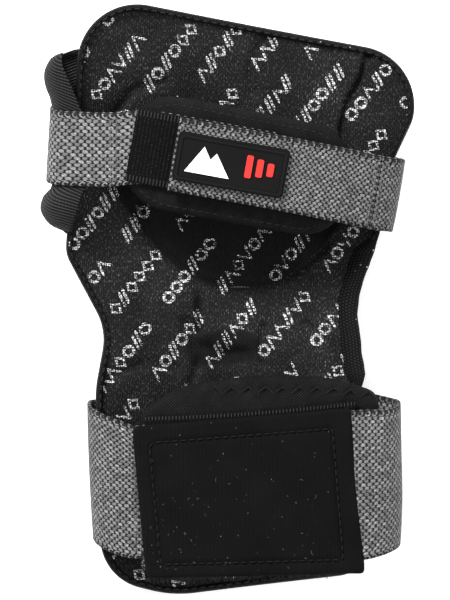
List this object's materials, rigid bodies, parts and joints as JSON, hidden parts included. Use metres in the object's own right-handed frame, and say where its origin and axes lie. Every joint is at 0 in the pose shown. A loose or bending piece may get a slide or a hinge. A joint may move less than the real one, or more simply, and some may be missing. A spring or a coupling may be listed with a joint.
{
  "type": "wrist guard",
  "caption": "Snow-sport wrist guard with a curved padded palm body, thumb sleeve, riveted palm splint and webbing straps that swing open and peel off hook tape.",
  "frame": {"origin": "middle of the flat rest face of the skid under the palm splint", "axes": "+Z from the palm side up to the straps over the back of the hand, +Y from the forearm towards the fingers, +X away from the thumb"},
  "size_m": [0.1247, 0.1969, 0.0576],
  "materials": {
    "lining_knit": "knitted, patterned",
    "foam": "closed-cell foam",
    "stiffener_plastic": "moulded sheet",
    "shell_fabric": "woven nylon",
    "binding_mesh": "mesh tape",
    "splint_plastic": "moulded, fine grain",
    "rivet_metal": "satin",
    "sleeve_rib": "ribbed stretch knit",
    "webbing": "woven webbing",
    "hook_tape": "hook tape",
    "pad_fabric": "stretch neoprene",
    "loop_pile": "loop pile",
    "badge_rubber": "moulded rubber",
    "badge_white": "moulded rubber",
    "badge_red": "moulded rubber"
  },
  "bodies": {
    "guard": {"lining": "lining_knit", "foam_padding": "foam", "stiffener": "stiffener_plastic", "outer_shell": "shell_fabric", "edge_binding": "binding_mesh", "palm_splint": "splint_plastic", "splint_rivets": "rivet_metal", "rivet_washers": "rivet_metal", "thumb_sleeve": "sleeve_rib", "hand_stub_strap": "webbing", "hand_hook_tape": "hook_tape", "hand_pad_cover": "pad_fabric", "hand_pad_foam": "foam", "hand_strap_anchor": "webbing", "wrist_stub_strap": "webbing", "wrist_hook_tape": "hook_tape", "wrist_pad_cover": "pad_fabric", "wrist_pad_foam": "foam", "wrist_pad_binding": "binding_mesh", "wrist_strap_anchor": "webbing"},
    "hand_strap_base": {"hand_strap": "webbing"},
    "hand_strap_free_end": {"hand_strap_tip": "webbing", "hand_loop_tape": "loop_pile", "badge": "badge_rubber", "badge_frame": "badge_rubber", "badge_peaks": "badge_white", "badge_bars": "badge_red"},
    "wrist_strap_base": {"wrist_strap": "webbing"},
    "wrist_strap_free_end": {"wrist_tab": "webbing", "wrist_tab_pile": "loop_pile", "wrist_loop_tape": "loop_pile"}
  },
  "joints": [
    {"name": "hand_strap_swing", "type": "hinge", "parent": "guard", "child": "hand_strap_base", "pos_m": [0.05384, 0.04038, 0.02241], "axis": [0.1715, 0.9727, 0.1564], "range_deg": [0, 110]},
    {"name": "hand_strap_peel", "type": "hinge", "parent": "hand_strap_base", "child": "hand_strap_free_end", "pos_m": [0.02157, 0.04124, 0.05244], "axis": [0.1715, 0.9727, 0.1564], "range_deg": [0, 60]},
    {"name": "wrist_strap_swing", "type": "hinge", "parent": "guard", "child": "wrist_strap_base", "pos_m": [0.0475, -0.055, 0.01709], "axis": [0, 1, 0], "range_deg": [0, 110]},
    {"name": "wrist_strap_peel", "type": "hinge", "parent": "wrist_strap_base", "child": "wrist_strap_free_end", "pos_m": [0.038, -0.064, 0.04265], "axis": [0, 1, 0], "range_deg": [0, 60]}
  ]
}
